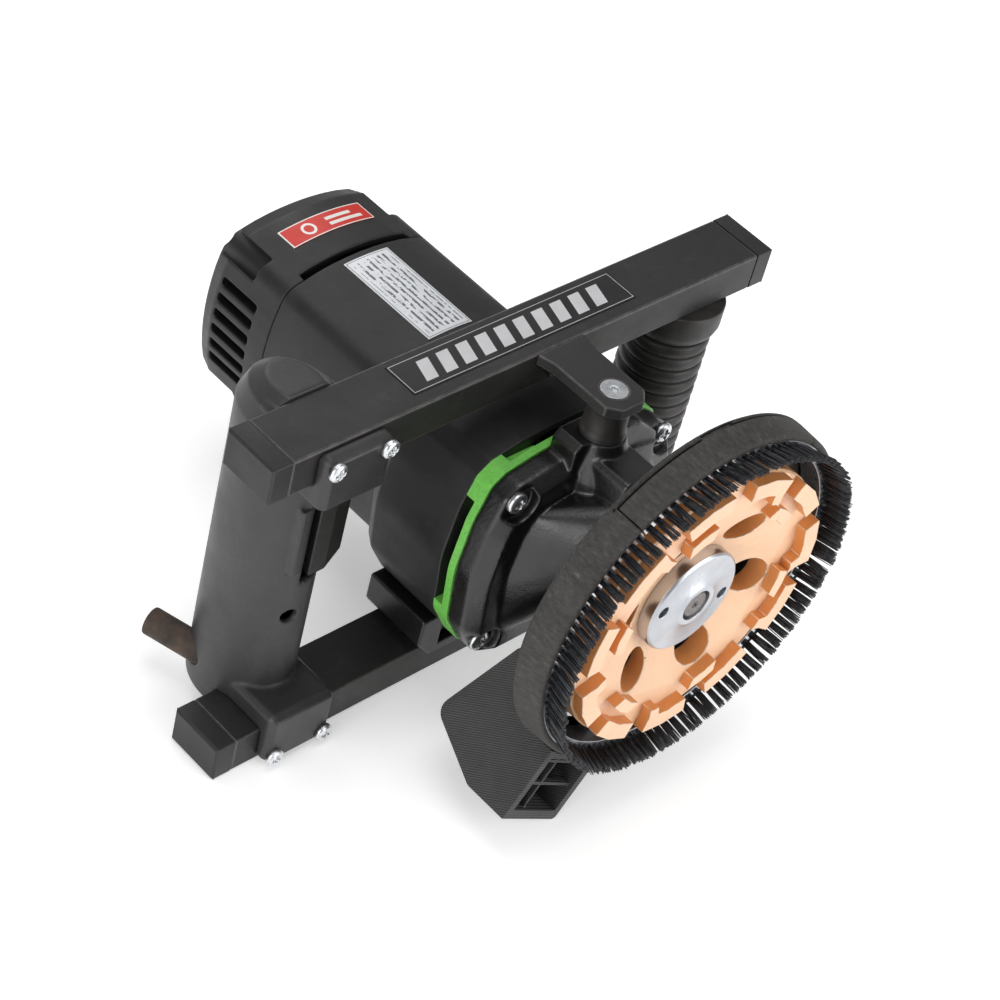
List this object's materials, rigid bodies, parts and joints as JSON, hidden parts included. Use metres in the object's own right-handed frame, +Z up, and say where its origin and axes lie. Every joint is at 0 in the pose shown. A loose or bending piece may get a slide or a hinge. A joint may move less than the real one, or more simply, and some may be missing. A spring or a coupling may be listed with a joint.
{
  "type": "concrete wall grinder",
  "caption": "Hand-held electric wall grinder: motor, gearbox, cup wheel in a brush-rimmed dust hood, two-rail frame with switch handle and ribbed grip.",
  "frame": {"origin": "centre of the bounding box on the surface that the bottom rail stands on", "axes": "+X along the rails, from the switch handle to the ribbed grip; -Y out of the grinding face; +Z up, from the bottom rail to the top rail"},
  "size_m": [0.2628, 0.257, 0.1832],
  "materials": {
    "painted_rail": "satin black powder coat, fine grain",
    "black_plastic": "lightly textured moulded black",
    "casing_plastic": "glass-filled nylon, fine texture",
    "handle_plastic": "semi-matt moulded charcoal",
    "cast_housing": "black coated die casting with an orange-peel surface",
    "green_plastic": "satin moulded green",
    "black_rubber": "matt rubber",
    "sleeve_rubber": "worn brownish rubber",
    "hood_plastic": "fibrous matt polymer",
    "duct_plastic": "matt polymer with fine diagonal lines",
    "zinc_steel": "bright zinc plate",
    "ground_steel": "ground steel",
    "wheel_gold": "pale copper-gold paint, satin",
    "segment_bond": "sintered diamond bond with copper-gold paint",
    "nut_aluminium": "bright turned aluminium",
    "strip_aluminium": "bare aluminium strip",
    "bristle": "black nylon bristles",
    "gear_steel": "hardened gear steel, oiled",
    "copper": "enamelled copper wire",
    "commutator_copper": "turned copper segments",
    "laminated_steel": "stacked lamination edges",
    "cast_aluminium": "as-cast",
    "carbon": "graphite",
    "brass": "stamped brass",
    "label_black": "black film with a thin pale border",
    "label_white": "white film with plain grey bars",
    "decal_red": "red film with a white edge"
  },
  "bodies": {
    "machine": {"top_rail": "painted_rail", "bottom_rail": "painted_rail", "rail_end_caps": "black_plastic", "arm_bracket": "painted_rail", "arm_screw": "zinc_steel", "arm_damper": "black_rubber", "rail_label": "label_black", "bottom_saddle": "cast_housing", "saddle_screws": "zinc_steel", "motor_casing": "casing_plastic", "rear_cap": "casing_plastic", "rear_cap_screws": "zinc_steel", "cap_decal": "decal_red", "rating_plate": "label_white", "air_outlet_ring": "green_plastic", "bearing_shield": "cast_aluminium", "gear_housing": "cast_housing", "gear_housing_screws": "zinc_steel", "spindle_front_bearing": "ground_steel", "spindle_rear_bearing": "ground_steel", "armature_front_bearing": "ground_steel", "armature_rear_bearing": "ground_steel", "stator_core": "laminated_steel", "field_coils": "copper", "brush_holders": "brass", "carbon_brushes": "carbon", "brush_springs": "zinc_steel", "handle_front_shell": "handle_plastic", "handle_rear_shell": "handle_plastic", "handle_screws": "zinc_steel", "trigger_spring": "zinc_steel", "switch_module": "black_plastic", "cable_sleeve": "sleeve_rubber", "grip_post": "ground_steel", "grip_sleeve": "black_rubber", "grip_cuffs": "black_rubber", "grip_bolts": "zinc_steel"},
    "spindle_unit": {"spindle": "ground_steel", "drive_gear": "gear_steel", "backing_flange": "zinc_steel", "cup_wheel": "wheel_gold", "wheel_segments": "segment_bond", "flange_nut": "nut_aluminium"},
    "armature": {"armature_shaft": "ground_steel", "armature_core": "laminated_steel", "armature_windings": "copper", "commutator": "commutator_copper", "cooling_fan": "black_plastic"},
    "dust_hood": {"hood_body": "hood_plastic", "brush_strip": "strip_aluminium", "hood_bristles": "bristle", "hood_clamp": "ground_steel", "hood_clamp_screw": "zinc_steel", "dust_duct": "duct_plastic", "duct_screws": "zinc_steel"},
    "rim_segment": {"hood_segment": "hood_plastic", "segment_strip": "strip_aluminium", "segment_bristles": "bristle"},
    "trigger_paddle": {"trigger": "black_plastic"}
  },
  "joints": [
    {"name": "spindle_spin", "type": "hinge", "parent": "machine", "child": "spindle_unit", "pos_m": [0.01025, -0.08455, 0.1056], "axis": [0, 1, 0], "continuous": true},
    {"name": "armature_spin", "type": "hinge", "parent": "machine", "child": "armature", "pos_m": [0.01025, 0.02545, 0.0876], "axis": [0, 1, 0], "continuous": true},
    {"name": "hood_swivel", "type": "hinge", "parent": "machine", "child": "dust_hood", "pos_m": [0.01025, -0.09455, 0.1056], "axis": [0, 1, 0], "range_deg": [-45, 45]},
    {"name": "segment_lift", "type": "slide", "parent": "dust_hood", "child": "rim_segment", "axis": [0, 0, 1], "range_m": [0, 0.024]},
    {"name": "trigger_pull", "type": "slide", "parent": "machine", "child": "trigger_paddle", "axis": [-1, 0, 0], "range_m": [0, 0.004], "stiffness_N_per_m": 900, "springref_m": -0.003}
  ],
  "couplings": [
    {"joint": "armature_spin", "follows": "spindle_spin", "ratio": -3}
  ]
}
